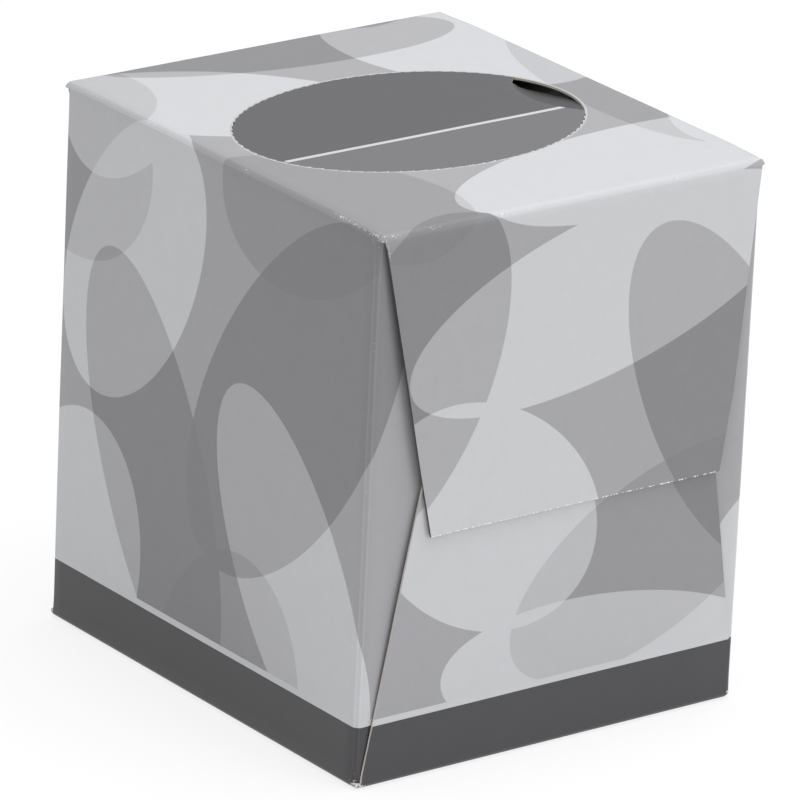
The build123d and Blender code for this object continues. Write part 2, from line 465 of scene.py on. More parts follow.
tab_loop = [on_oval(angle) for angle in spread(-tip_angle, tip_angle, TAB_STEPS)]
back_tip, front_tip = tab_loop[-1], tab_loop[0]
arc_from = math.atan2(*(back_tip - tab_centre).yx)
arc_to = arc_from + RETURN_CUT / tab_arc
tab_loop += [on_tab_arc(angle) for angle in spread(arc_from, arc_to, RETURN_STEPS)[1:]]
tab_loop += [on_tab_arc(angle, cut_width) for angle in spread(arc_to, arc_from + KERF_ANGLE, RETURN_STEPS)]
for angle in spread(tip_angle, -tip_angle, TAB_STEPS)[2:-1]:
    tab_loop.append(on_oval(angle, cut_width))
crease_end = 2 * math.pi + math.atan2(*(front_tip - tab_centre).yx)
crease = [on_tab_arc(angle) for angle in spread(arc_to, crease_end, CREASE_STEPS)[:-1]]
crease.append(front_tip)

# %% Border and loose points of the top panel
across_steps = spread(-flat_x, flat_x, ACROSS)
border = [Vector((x, -sleeve_y)) for x in across_steps]
border += [Vector((flat_x, y)) for y in sleeve_steps[1:]]
border += [Vector((x, sleeve_y)) for x in reversed(across_steps[:-1])]
border += [Vector((-flat_x, y)) for y in reversed(sleeve_steps[1:-1])]
STEP = 1.6 * MM
STEPS_X, STEPS_Y = 30, 33
CLEAR_OF_CUT, CLEAR_OF_CREASE, FINE_BAND = 0.9 * MM, 0.5 * MM, 4 * MM
loose = []
for i in range(-STEPS_X, STEPS_X + 1):
    for j in range(-STEPS_Y, STEPS_Y + 1):
        spot = Vector((i * STEP, j * STEP))
        reach = oval_reach(spot)
        rim_gap = abs(reach - 1) * radii.y
        crease_gap = abs((spot - tab_centre).length - tab_arc)
        on_tab = in_tab(spot) and reach < 1
        if abs(spot.x) > flat_x - STEP / 2 or abs(spot.y) > sleeve_y - STEP / 2:
            continue
        if rim_gap < CLEAR_OF_CUT or (crease_gap < CLEAR_OF_CREASE and reach < 1.05):
            continue
        if on_tab or rim_gap < FINE_BAND or (i % 2 == 0 and j % 2 == 0):
            loose.append(spot)

# %% Triangulate, and leave out what the knife removes
points, edges = [], []


def add_loop(loop, closed=True):
    start = len(points)
    points.extend(loop)
    last = len(points) if closed else len(points) - 1
    for k in range(start, last):
        edges.append((k, k + 1 if k + 1 < len(points) else start))


add_loop(border)
for loop in cut_loops + [tab_loop]:
    add_loop(loop)
add_loop(crease, closed=False)
points.extend(loose)
flat_points, _, triangles, _, _, _ = delaunay_2d_cdt(points, edges, [], 0, 1e-7)


def inside(point, loop):
    """Even-odd test of a point against a loop."""
    odd = False
    for a, b in zip(loop, loop[1:] + loop[:1]):
        if (a.y > point.y) != (b.y > point.y):
            if point.x < a.x + (point.y - a.y) * (b.x - a.x) / (b.y - a.y):
                odd = not odd
    return odd


# %% [markdown]
# The tab is pressed in: nothing at the crease, most at its outer edge, and more at the back than at the
# front, because the thumb landed there.

# %% Height of the top panel at a point
tab_long = back_tip.y - front_tip.y
FRONT_DEPTH, MORE_AT_BACK = 0.15 * MM, 2.05 * MM
ON_CREASE, ON_RIM = 0.02 * MM, 0.1 * MM
NO_GAP = 1e-9
BEND = 1.3


def tab_depth(point):
    """How far the tab is pressed in at a point inside the lens."""
    if not in_tab(point, ON_CREASE):
        return 0.0
    reach = oval_reach(point)
    if reach > 1 - ON_RIM / radii.x:
        return 0.0
    from_crease = tab_arc - (point - tab_centre).length
    from_rim = (1 - reach) * radii.x
    lengthwise = (point.y - front_tip.y) / tab_long
    share = from_crease / (from_crease + from_rim + NO_GAP)
    share = max(share, ease(lengthwise, 0.80, 0.95))
    deepest = FRONT_DEPTH + MORE_AT_BACK * ease(lengthwise, -0.05, 0.9)
    return deepest * (1 - (1 - share) ** BEND)


near_cuts = [(sum(loop, Vector((0, 0))) / len(loop), loop) for loop in cut_loops]
made = []
for point in flat_points:
    wear = 0.35 * ease(abs(oval_reach(point) - 1) * radii.x, 1.0 * MM, 0)
    vertex = sheet.verts.new((point.x, point.y, height - tab_depth(point)))
    vertex[worn] = wear
    made.append(vertex)
for triangle in triangles:
    corners = [flat_points[k] for k in triangle]
    middle = sum(corners, Vector((0, 0))) / 3
    if any((middle - spot).length < cut_length and inside(middle, loop) for spot, loop in near_cuts):
        continue
    if inside(middle, tab_loop):
        continue
    face = sheet.faces.new([made[k] for k in triangle])
    for loop, corner_point in zip(face.loops, corners):
        loop[blank].uv = corner_point
print("top panel triangles:", len(triangles))

# %% [markdown]
# ## Join, soften, thicken
#
# Merging by distance turns the patches into one sheet. A slow noise and a slight sag take the machine
# look off the panels, two corners that took knocks are marked as worn, and then Solidify gives the
# board its thickness inwards, with one material for the printed face, one for the bare inside and one
# for the cut edges.

# %% Join the patches and face them outwards
WELD = 0.02 * MM
bmesh.ops.remove_doubles(sheet, verts=sheet.verts, dist=WELD)
loose_verts = [v for v in sheet.verts if not v.link_faces]
bmesh.ops.delete(sheet, geom=loose_verts, context="VERTS")
bmesh.ops.recalc_face_normals(sheet, faces=sheet.faces)
top_face = max(sheet.faces, key=lambda f: f.calc_center_median().z)
if top_face.normal.z < 0:
    bmesh.ops.reverse_faces(sheet, faces=sheet.faces)
open_edges = sum(1 for e in sheet.edges if len(e.link_faces) == 1)
bad_edges = sum(1 for e in sheet.edges if len(e.link_faces) > 2)
print("sheet:", len(sheet.faces), "faces,", open_edges, "cut edges,", bad_edges, "bad edges")

# %% Let the panels sag and ripple a little
WAVE, CRINKLE, DROOP = 0.10 * MM, 0.035 * MM, 0.35 * MM
DROOP_BACK, DROOP_DOWN, HELD = 14 * MM, 16 * MM, 4 * MM
knocked = [
    (Vector((-half_x, -half_y, height)), 10 * MM, 0.36),
    (Vector((-half_x, -half_y, 0)), 5 * MM, 1.0),
]
sheet.normal_update()
moves = []
for vertex in sheet.verts:
    place = vertex.co
    for corner_place, radius, blow in knocked:
        vertex[worn] += blow * ease((place - corner_place).length, radius, 1 * MM)
    ripple = WAVE * noise.noise(place * 28) + CRINKLE * noise.noise(place * 90)
    droop = ease(abs(place.y), half_y - DROOP_BACK, half_y) * ease(place.z, height - DROOP_DOWN, height)
    held = ease(place.z, 0, HELD)
    moves.append(vertex.normal * (ripple - WAVE) * held - Vector((0, 0, DROOP * droop)))
for vertex, move in zip(sheet.verts, moves):
    vertex.co += move

# %% Make the object and thicken it
def new_object(name, mesh):
    made_object = bpy.data.objects.new(name, mesh)
    bpy.context.scene.collection.objects.link(made_object)
    return made_object


def settle(thing):
    """Turns the evaluated object into a plain mesh and drops its modifiers."""
    graph = bpy.context.evaluated_depsgraph_get()
    final = bpy.data.meshes.new_from_object(thing.evaluated_get(graph), depsgraph=graph)
    thing.modifiers.clear()
    thing.data = final
    return thing


flat_mesh = bpy.data.meshes.new("folded_carton")
sheet.to_mesh(flat_mesh)
sheet.free()
carton = new_object("folded_carton", flat_mesh)
for name in ("Printed board", "Bare board", "Cut edge"):
    flat_mesh.materials.append(bpy.data.materials.new(name))
thicken = carton.modifiers.new("Board", "SOLIDIFY")
thicken.thickness = board
thicken.offset = -1
thicken.use_even_offset = True
thicken.material_offset = 1
thicken.material_offset_rim = 2
settle(carton)
carton.data.shade_smooth()
carton.data.set_sharp_from_angle(angle=math.radians(50))
print("carton:", len(carton.data.polygons), "faces")

# %% [markdown]
# ## Shader groups
#
# Three effects are used by more than one finish, so each is a group: paper fibres, wear that follows
# the `worn` attribute, and the soft-edged oval field that the whole print is made of.

# %% Helpers that keep node code short
def add(tree, kind, **values):
    node = tree.nodes.new(kind)
    for key, value in values.items():
        setattr(node, key, value)
    return node


def feed(tree, socket, value):
    """Links a socket to another, or sets its plain value."""
    if isinstance(value, bpy.types.NodeSocket):
        tree.links.new(value, socket)
    else:
        socket.default_value = value


def wired(tree, kind, inputs, **values):
    """A node whose inputs, as {socket: value or link}, are fed at once."""
    node = add(tree, kind, **values)
    for socket, value in inputs.items():
        feed(tree, node.inputs[socket], value)
    return node


def maths(tree, operation, first, second=0.0, clamp=False):
    inputs = {0: first, 1: second}
    return wired(tree, "ShaderNodeMath", inputs, operation=operation, use_clamp=clamp).outputs[0]


def times(tree, first, second):
    return maths(tree, "MULTIPLY", first, second)


def plus(tree, first, second):
    return maths(tree, "ADD", first, second)


def vectors(tree, operation, first, second):
    place = "Scale" if operation == "SCALE" else 1
    return wired(tree, "ShaderNodeVectorMath", {0: first, place: second}, operation=operation)


def new_group(name, inputs, outputs):
    """An empty shader group with float and vector sockets, as {name: kind}."""
    group = bpy.data.node_groups.new(name, "ShaderNodeTree")
    for socket, kind in inputs.items():
        group.interface.new_socket(socket, in_out="INPUT", socket_type="NodeSocket" + kind)
    for socket, kind in outputs.items():
        group.interface.new_socket(socket, in_out="OUTPUT", socket_type="NodeSocket" + kind)
    return group, group.nodes.new("NodeGroupInput"), group.nodes.new("NodeGroupOutput")


def use_group(tree, group, **values):
    node = add(tree, "ShaderNodeGroup", node_tree=group)
    for key, value in values.items():
        feed(tree, node.inputs[key.replace("_", " ")], value)
    return node


def fresh_tree(owner):
    """The emptied node tree of a material or a world."""
    owner.use_nodes = True
    owner.node_tree.nodes.clear()
    return owner.node_tree


def bumped(tree, shader, relief, strength, distance):
    """Lets a relief, distance metres high, bend a shader's normals."""
    bump = wired(tree, "ShaderNodeBump", {"Strength": strength, "Distance": distance, "Height": relief})
    feed(tree, shader.inputs["Normal"], bump.outputs[0])


def shown(tree, shader, kind="Material"):
    """Passes a shader out of its material or world."""
    tree.links.new(shader.outputs[0], add(tree, "ShaderNodeOutput" + kind).inputs[0])


def noise_at(tree, vector, scale, detail=2.0, rough=0.5):
    inputs = {"Vector": vector, "Scale": scale, "Detail": detail, "Roughness": rough}
    return wired(tree, "ShaderNodeTexNoise", inputs).outputs["Fac"]


# %% Group: an oval field of ink
field_group, source, result = new_group(
    "Oval field",
    {"Place": "Vector", "Centre": "Vector", "Radii": "Vector", "Turn": "Float", "Softness": "Float"},
    {"Mask": "Float"},
)
shifted = vectors(field_group, "SUBTRACT", source.outputs["Place"], source.outputs["Centre"])
turning = {"Vector": shifted.outputs[0], "Angle": source.outputs["Turn"]}
turned = wired(field_group, "ShaderNodeVectorRotate", turning, rotation_type="Z_AXIS")
shrunk = vectors(field_group, "DIVIDE", turned.outputs[0], source.outputs["Radii"])
length = wired(field_group, "ShaderNodeVectorMath", {0: shrunk.outputs[0]}, operation="LENGTH")
inner = maths(field_group, "SUBTRACT", 1.0, length.outputs["Value"])
sharp = maths(field_group, "DIVIDE", inner, source.outputs["Softness"])
feed(field_group, result.inputs["Mask"], maths(field_group, "ADD", sharp, 0.5, clamp=True))

# %% Group: paper fibres
fibre_group, source, result = new_group(
    "Paper fibres", {"Place": "Vector", "Strength": "Float"}, {"Shade": "Float", "Relief": "Float"}
)
along_grain = {"Vector": source.outputs["Place"], "Scale": (1.0, 0.35, 1.0)}
stretch = wired(fibre_group, "ShaderNodeMapping", along_grain)
fine = noise_at(fibre_group, stretch.outputs[0], 2600, 3.0, 0.6)
cloud = noise_at(fibre_group, source.outputs["Place"], 260, 3.0, 0.55)
both = plus(fibre_group, times(fibre_group, fine, 0.6), times(fibre_group, cloud, 0.4))
centred = maths(fibre_group, "SUBTRACT", both, 0.5)
feed(fibre_group, result.inputs["Shade"], times(fibre_group, centred, source.outputs["Strength"]))
feed(fibre_group, result.inputs["Relief"], both)

# %% Group: wear where folds and edges are handled
wear_group, source, result = new_group(
    "Worn edge", {"Place": "Vector", "Wear": "Float", "Amount": "Float"}, {"Mask": "Float"}
)
flecks = noise_at(wear_group, source.outputs["Place"], 2200, 4.0, 0.75)
patches = noise_at(wear_group, source.outputs["Place"], 75, 2.0, 0.5)
patchy = times(wear_group, source.outputs["Wear"], patches)
chance = times(wear_group, patchy, source.outputs["Amount"])
gate = maths(wear_group, "SUBTRACT", plus(wear_group, flecks, chance), 0.95)
feed(wear_group, result.inputs["Mask"], maths(wear_group, "MULTIPLY", gate, 14.0, clamp=True))

# %% [markdown]
# ## The print
#
# The blank carries large ovals, lighter or darker than the middle grey that they lie on. Each row below is
# one oval: where its centre lies on the blank, its two radii, its turn in degrees, and how much it
# changes what it covers. Ovals near a fold run over it, because they are laid out on the flat blank.

# %% Ovals of the print, in millimetres on the blank
LIGHT, DARK, FAINT = 0.14, -0.115, -0.06
SHADES = {
    "top": [
        (-34, 30, 40, 22, 35, LIGHT), (24, -46, 50, 18, -8, LIGHT), (40, 36, 26, 34, -20, LIGHT),
        (2, 56, 46, 16, 8, DARK), (-48, -34, 24, 34, -25, FAINT), (54, -4, 15, 42, 6, FAINT),
    ],
    "front": [
        (10, -82, 54, 19, -14, LIGHT), (-20, -128, 34, 24, 35, LIGHT), (18, -170, 48, 17, 8, LIGHT),
        (44, -112, 20, 48, -28, DARK), (-42, -92, 22, 40, 22, DARK), (26, -146, 40, 20, -25, FAINT),
    ],
    "left": [
        (-84, 30, 38, 22, 28, LIGHT), (-138, -32, 44, 20, -32, LIGHT), (-156, 48, 32, 24, 10, LIGHT),
        (-98, -30, 54, 26, 35, DARK), (-130, 20, 50, 20, -24, DARK), (-64, 52, 26, 28, 0, FAINT),
        (-172, -10, 34, 26, 15, FAINT),
    ],
    "right": [
        (82, -26, 40, 22, -30, LIGHT), (138, 30, 44, 22, 30, LIGHT), (156, -44, 30, 24, -10, LIGHT),
        (100, 32, 52, 26, -35, DARK), (132, -16, 50, 20, 24, DARK), (172, 12, 34, 26, -15, FAINT),
    ],
    "back": [
        (-12, 84, 54, 19, -14, LIGHT), (22, 130, 34, 24, 35, LIGHT), (-16, 168, 48, 17, 8, LIGHT),
        (-42, 114, 20, 48, -28, DARK), (42, 94, 22, 40, 22, DARK), (-28, 146, 40, 20, -25, FAINT),
    ],
}

# %% Printed board: ground, ovals, panel, band and stripe
ink = fresh_tree(carton.data.materials[0])
flat_place = add(ink, "ShaderNodeUVMap", uv_map="blank").outputs["UV"]
solid_place = add(ink, "ShaderNodeTexCoord").outputs["Object"]
wear_value = add(ink, "ShaderNodeAttribute", attribute_name="worn").outputs["Fac"]


def field(x, y, rx, ry, turn, softness=0.004):
    node = use_group(ink, field_group, Place=flat_place, Turn=math.radians(turn), Softness=softness)
    node.inputs["Centre"].default_value = (x * MM, y * MM, 0)
    node.inputs["Radii"].default_value = (rx * MM, ry * MM, 1)
    return node.outputs["Mask"]


GROUND = 0.61
PALEST, DEEPEST = 0.75, 0.48
tone = GROUND
for rows in SHADES.values():
    for x, y, rx, ry, turn, change in rows:
        tone = plus(ink, tone, times(ink, field(x, y, rx, ry, turn), change))
tone = maths(ink, "MINIMUM", maths(ink, "MAXIMUM", tone, DEEPEST), PALEST)


def cover(tone, mask, value):
    """Solid ink of one value laid over the tone where the mask is 1."""
    return wired(ink, "ShaderNodeMix", {0: mask, 2: tone, 3: value}, data_type="FLOAT").outputs[0]


# %% The oval panel with its fine line
split = add(ink, "ShaderNodeSeparateXYZ")
feed(ink, split.inputs[0], flat_place)
cx, cy = centre.x / MM, centre.y / MM
rx, ry = radii.x / MM, radii.y / MM
HALO_WIDTH, LINE_INSET = 0.55, 0.5
LINE_Y, LINE_WIDTH = -10.5 * MM, 1.2 * MM
HALO_TONE, PANEL_TONE, FRONT_TONE, LINE_TONE, TAB_INK_AND_SHADE = 0.71, 0.325, 0.405, 0.76, 0.235
halo = field(cx, cy, rx + HALO_WIDTH, ry + HALO_WIDTH, 0)
oval = field(cx, cy, rx, ry, 0)
inner_oval = field(cx, cy, rx - LINE_INSET, ry - LINE_INSET, 0)
below_line = maths(ink, "LESS_THAN", split.outputs["Y"], LINE_Y)
on_line = maths(ink, "COMPARE", split.outputs["Y"], LINE_Y)
on_line.node.inputs[2].default_value = LINE_WIDTH / 2
tone = cover(tone, halo, HALO_TONE)
tone = cover(tone, oval, PANEL_TONE)
tone = cover(tone, times(ink, oval, below_line), FRONT_TONE)
tone = cover(tone, times(ink, inner_oval, on_line), LINE_TONE)
# The pressed-in tab: the panel's ink, darkened further with painted shade for its sunken, tilted face
lens = field(tab_centre.x / MM, tab_centre.y / MM, tab_arc / MM, tab_arc / MM, 0)
tone = cover(tone, times(ink, oval, lens), TAB_INK_AND_SHADE)

# %% The band round the foot with its thin stripe, and the pale base
BASE_PRINT = 0.3 * MM
STRIPE_TONE, BAND_TONE, BASE_TONE = 0.755, 0.27, 0.70
level = add(ink, "ShaderNodeSeparateXYZ")
feed(ink, level.inputs[0], solid_place)
stripe = maths(ink, "LESS_THAN", level.outputs["Z"], band_height + stripe_height)
band = maths(ink, "LESS_THAN", level.outputs["Z"], band_height)
tone = cover(tone, stripe, STRIPE_TONE)
tone = cover(tone, band, BAND_TONE)
tone = cover(tone, maths(ink, "LESS_THAN", level.outputs["Z"], BASE_PRINT), BASE_TONE)

# %% Fibres, two pale creases beside each upright fold, and wear
CREASE_WEAR, CREASE_REACH, CREASE_TONE = 0.42, 0.16, 0.035
WORN_TONE = 0.90
fibres = use_group(ink, fibre_group, Place=solid_place, Strength=0.05)
tone = maths(ink, "ADD", tone, fibres.outputs["Shade"], clamp=True)
on_crease = maths(ink, "COMPARE", wear_value, CREASE_WEAR)
on_crease.node.inputs[2].default_value = CREASE_REACH
at_side = maths(ink, "GREATER_THAN", maths(ink, "ABSOLUTE", level.outputs["X"]), flat_x - 0.3 * MM)
on_crease = times(ink, on_crease, at_side)
tone = plus(ink, tone, times(ink, on_crease, CREASE_TONE))
wear_mask = use_group(ink, wear_group, Place=solid_place, Wear=wear_value, Amount=0.66).outputs["Mask"]
tone = cover(tone, wear_mask, WORN_TONE)

# %% The shader of the printed board. Dark inks lean to violet, pale ones to blue
DARK_CAST, PALE_CAST = (0.93, 0.90, 1.0, 1), (0.97, 0.99, 1.0, 1)
linear = maths(ink, "POWER", tone, 2.2)
tint = add(ink, "ShaderNodeMix", data_type="RGBA", blend_type="MULTIPLY")
tint.inputs[0].default_value = 1.0
spread_tone = add(ink, "ShaderNodeCombineColor")
for socket in spread_tone.inputs:
    feed(ink, socket, linear)
feed(ink, tint.inputs[6], spread_tone.outputs[0])
cast = add(ink, "ShaderNodeMix", data_type="RGBA")
feed(ink, cast.inputs[0], tone)
cast.inputs[6].default_value = DARK_CAST
cast.inputs[7].default_value = PALE_CAST
feed(ink, tint.inputs[7], cast.outputs[2])
shader = add(ink, "ShaderNodeBsdfPrincipled")
feed(ink, shader.inputs["Base Color"], tint.outputs[2])
rough = plus(ink, 0.38, times(ink, fibres.outputs["Relief"], 0.14))
feed(ink, shader.inputs["Roughness"], plus(ink, rough, times(ink, wear_mask, 0.4)))
shader.inputs["Specular IOR Level"].default_value = 0.45
bumped(ink, shader, fibres.outputs["Relief"], 0.12, 0.04 * MM)
shown(ink, shader)

# %% [markdown]
# ## Bare board, cut edges, tissue, film and glue
#
# These finishes are plain materials with fibre and relief. One function makes the papery ones, because
# they differ only in colour, coarseness and how rough they are.

# %% Papery finishes
def paper(material, colour, roughness, scale, shade, relief, painted_shadow=0.0):
    """A matt, fibrous finish. shade is how much the colour wanders, relief the bump's height in metres,
    and the last argument is how much painted shadow, read from the sheet's attribute, darkens it."""
    tree = fresh_tree(material)
    place = add(tree, "ShaderNodeTexCoord").outputs["Object"]
    grain = use_group(tree, fibre_group, Place=place, Strength=shade)
    speck = noise_at(tree, place, scale, 4.0, 0.65)
    speckle = times(tree, maths(tree, "SUBTRACT", speck, 0.5), shade)
    value = plus(tree, plus(tree, 1.0, grain.outputs["Shade"]), speckle)
    # Painted shadow: darkens the cut edges that face down, away from the light
    if painted_shadow:
        shadow = add(tree, "ShaderNodeAttribute", attribute_name="edge_shadow_paint").outputs["Fac"]
        value = times(tree, value, maths(tree, "SUBTRACT", 1.0, times(tree, shadow, painted_shadow)))
    scaled = vectors(tree, "SCALE", colour, value)
    shader = add(tree, "ShaderNodeBsdfPrincipled")
    feed(tree, shader.inputs["Base Color"], scaled.outputs[0])
    feed(tree, shader.inputs["Roughness"], plus(tree, roughness, times(tree, speck, 0.1)))
    shader.inputs["Specular IOR Level"].default_value = 0.25
    bumped(tree, shader, grain.outputs["Relief"], 0.5, relief)
    shown(tree, shader)
    return material


paper(carton.data.materials[1], (0.42, 0.39, 0.34), 0.8, 700, 0.25, 0.05 * MM)
# The cut edges, with painted shadow on the upper flaps' downward-facing edges
paper(carton.data.materials[2], (0.60, 0.565, 0.51), 0.9, 1600, 0.4, 0.08 * MM, painted_shadow=0.86)
tissue_finish = paper(bpy.data.materials.new("Tissue"), (0.86, 0.86, 0.84), 0.9, 1100, 0.12, 0.12 * MM)
glue_finish = paper(bpy.data.materials.new("Dried glue"), (0.72, 0.66, 0.50), 0.45, 500, 0.2, 0.06 * MM)

# %% Film
film_finish = bpy.data.materials.new("Clear film")
film_tree = fresh_tree(film_finish)
film_place = add(film_tree, "ShaderNodeTexCoord").outputs["Object"]
clear = {"Base Color": (0.93, 0.95, 0.96, 1), "Transmission Weight": 0.9, "IOR": 1.2}
film_shader = wired(film_tree, "ShaderNodeBsdfPrincipled", clear)
crinkle = noise_at(film_tree, film_place, 60, 3.0, 0.6)
feed(film_tree, film_shader.inputs["Roughness"], times(film_tree, crinkle, 0.3))
bumped(film_tree, film_shader, crinkle, 0.4, 0.6 * MM)
shown(film_tree, film_shader)


def finish_node(name, material):
    """Gives a carried-over solid its finish."""
    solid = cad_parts[name]
    if not solid.data.materials:
        solid.data.materials.append(material)
    for slot_here in solid.material_slots:
        slot_here.link = "OBJECT"
        slot_here.material = material


finish_node("window_film", film_finish)
for name in ("film_glue", "seam_glue", "front_glue", "back_glue"):
    finish_node(name, glue_finish)

# %% [markdown]
# ## Torn fibres along the perforation and the free edges
#
# Where a blade nicks coated board, pale fibres stand up. They repeat along a path, so they are instances:
# a tree of geometry nodes puts a flat tuft on every given point, turned along the cut and varied in size.

# %% Helpers for geometry trees
def new_tree(name, inputs):
    """A geometry tree with named inputs, as {name: (kind, value)}."""
    tree = bpy.data.node_groups.new(name, "GeometryNodeTree")
    tree.interface.new_socket("Geometry", in_out="INPUT", socket_type="NodeSocketGeometry")
    for label, (kind, value) in inputs.items():
        socket = tree.interface.new_socket(label, in_out="INPUT", socket_type="NodeSocket" + kind)
        socket.default_value = value
    tree.interface.new_socket("Geometry", in_out="OUTPUT", socket_type="NodeSocketGeometry")
    return tree, tree.nodes.new("NodeGroupInput"), tree.nodes.new("NodeGroupOutput")


def grow(thing, tree, **values):
    """Runs a geometry tree on an object, and keeps the result as its plain mesh."""
    modifier = thing.modifiers.new(tree.name, "NODES")
    modifier.node_group = tree
    for socket in tree.interface.items_tree:
        if socket.in_out == "INPUT" and socket.name in values:
            modifier[socket.identifier] = values[socket.name]
    return settle(thing)


def named(tree, label, kind):
    """Reads a named attribute."""
    node = add(tree, "GeometryNodeInputNamedAttribute", data_type=kind)
    node.inputs["Name"].default_value = label
    return node.outputs["Attribute"]


def painted(tree, geometry, material, result):
    """Gives the finished geometry its material and passes it out."""
    paint = wired(tree, "GeometryNodeSetMaterial", {"Geometry": geometry, "Material": material})
    feed(tree, result.inputs[0], paint.outputs[0])


# %% The tuft tree, with how far tufts differ from the named length, width and rise
SMALLEST, LARGEST = (0.25, 0.4, 0.5), (1.2, 1.3, 1.5)
fibre_finish = paper(bpy.data.materials.new("Torn fibre"), (0.74, 0.73, 0.71), 0.9, 2500, 0.2, 0.04 * MM)
tufts, source, result = new_tree(
    "Tufts along a cut",
    {
        "Length": ("Float", 0.5 * MM), "Width": ("Float", 0.2 * MM), "Rise": ("Float", 0.08 * MM),
        "Seed": ("Int", 4),
    },
)
ball = wired(tufts, "GeometryNodeMeshIcoSphere", {"Radius": 0.5, "Subdivisions": 2})
sizes = {axis: source.outputs[label] for axis, label in zip("XYZ", ("Length", "Width", "Rise"))}
shape = wired(tufts, "ShaderNodeCombineXYZ", sizes)
squashing = {"Geometry": ball.outputs["Mesh"], "Scale": shape.outputs[0]}
squash = wired(tufts, "GeometryNodeTransform", squashing)
limits = {0: SMALLEST, 1: LARGEST, "Seed": source.outputs["Seed"]}
vary = wired(tufts, "FunctionNodeRandomValue", limits, data_type="FLOAT_VECTOR")
aim = wired(tufts, "ShaderNodeCombineXYZ", {"Z": named(tufts, "heading", "FLOAT")})
placing = {
    "Points": source.outputs["Geometry"], "Instance": squash.outputs[0],
    "Rotation": aim.outputs[0], "Scale": vary.outputs[0],
}
place_all = wired(tufts, "GeometryNodeInstanceOnPoints", placing)
real = wired(tufts, "GeometryNodeRealizeInstances", {0: place_all.outputs[0]})
painted(tufts, real.outputs[0], fibre_finish, result)


# %% Lay the tufts on the board
def lay_tufts(name, spots, down, **sizes):
    """Drops every (place, heading) on to the carton along down, and grows a tuft there."""
    landed, headings = [], []
    for place, heading in spots:
        hit, where, _, _ = carton.ray_cast(place, down)
        if hit:
            landed.append(where)
            headings.append(heading)
    mesh = bpy.data.meshes.new(name)
    mesh.from_pydata(landed, [], [])
    mesh.attributes.new("heading", "FLOAT", "POINT").data.foreach_set("value", headings)
    thing = grow(new_object(name, mesh), tufts, **sizes)
    print(name, len(landed), "tufts,", len(thing.data.polygons), "faces")
    return thing


CLEAR = 5 * MM
above = height + CLEAR
nicks = [(Vector((spot.x, spot.y, above)), heading) for spot, heading in nick_places]
nick_tufts = lay_tufts(
    "perforation_fibres", nicks, Vector((0, 0, -1)),
    Length=0.6 * MM, Width=0.22 * MM, Rise=0.1 * MM, Seed=3,
)

EDGE_TUFTS = 110
EDGE_START, EDGE_LENGTH, EDGE_INSET = -35 * MM, 77 * MM, 0.12 * MM
noise.seed_set(5)
edge_spots = []
for number in range(EDGE_TUFTS):
    x = EDGE_START + EDGE_LENGTH * noise.random()
    edge_spots.append((Vector((x, -half_y - CLEAR, top_flap_end + EDGE_INSET)), 0.0))
edge_tufts = lay_tufts(
    "flap_edge_fibres", edge_spots, Vector((0, 1, 0)),
    Length=0.6 * MM, Width=0.16 * MM, Rise=0.26 * MM, Seed=8,
)

# %% [markdown]
# ## The clip of tissues
#
# Inside stands a block of interfolded sheets, bent over once so that both ends stand on the base. Its
# shape follows a rule: every fold is the innermost path moved outwards by its number times the pitch.

# %% The innermost path, with its outward direction
clip_low, clip_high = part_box("tissue_stack")
clip_half = (clip_high.x - clip_low.x) / 2
slot_half = 4 * MM
bend_z = clip_high.z - clip_half
LEG_STEPS, BEND_STEPS = 12, 24
path_points, outward = [], []
for z in spread(clip_low.z, bend_z, LEG_STEPS):
    path_points.append(Vector((-slot_half, 0, z)))
    outward.append(Vector((-1, 0, 0)))
for turn in spread(math.pi, 0, BEND_STEPS)[1:-1]:
    way = Vector((math.cos(turn), 0, math.sin(turn)))
    path_points.append(Vector((0, 0, bend_z)) + slot_half * way)
    outward.append(way)
for z in spread(bend_z, clip_low.z, LEG_STEPS):
    path_points.append(Vector((slot_half, 0, z)))
    outward.append(Vector((1, 0, 0)))
path_mesh = bpy.data.meshes.new("tissue_clip")
path_mesh.from_pydata(path_points, [(i, i + 1) for i in range(len(path_points) - 1)], [])
outward_data = path_mesh.attributes.new("outward", "FLOAT_VECTOR", "POINT").data
outward_data.foreach_set("vector", [value for way in outward for value in way])
print("innermost fold:", len(path_points), "points")

# %% The clip's tree: count the folds, copy the path once for each
FOLDS = 32
PLY_SHARE = 0.97
clip_tree, source, result = new_tree(
    "Nested folds",
    {
        "Folds": ("Int", FOLDS), "Pitch": ("Float", 1.4 * MM), "Depth": ("Float", 100 * MM),
        "Loose": ("Float", 0.4 * MM), "Seed": ("Int", 11),
    },
)
counting = {"Count": source.outputs["Folds"], "Offset": (0, 0, 0)}
count_line = wired(clip_tree, "GeometryNodeMeshLine", counting)
index = add(clip_tree, "GeometryNodeInputIndex")
storing = {"Geometry": count_line.outputs[0], "Name": "fold_number", "Value": index.outputs[0]}
number = wired(clip_tree, "GeometryNodeStoreNamedAttribute", storing, data_type="FLOAT", domain="POINT")
copying = {"Points": number.outputs[0], "Instance": source.outputs["Geometry"]}
copies = wired(clip_tree, "GeometryNodeInstanceOnPoints", copying)
loose_copies = wired(clip_tree, "GeometryNodeRealizeInstances", {0: copies.outputs[0]})

# %% Move each copy outwards by its number, and slide it a little
fold_number = named(clip_tree, "fold_number", "FLOAT")
reach = times(clip_tree, plus(clip_tree, fold_number, 0.5), source.outputs["Pitch"])
push = vectors(clip_tree, "SCALE", named(clip_tree, "outward", "FLOAT_VECTOR"), reach)
drawing = {2: -1.0, 3: 1.0, "ID": fold_number, "Seed": source.outputs["Seed"]}
wander = wired(clip_tree, "FunctionNodeRandomValue", drawing, data_type="FLOAT")
sideways = times(clip_tree, wander.outputs[1], source.outputs["Loose"])
slide = wired(clip_tree, "ShaderNodeCombineXYZ", {"Y": sideways})
total = vectors(clip_tree, "ADD", push.outputs[0], slide.outputs[0])
moving = {"Geometry": loose_copies.outputs[0], "Offset": total.outputs[0]}
moved = wired(clip_tree, "GeometryNodeSetPosition", moving)

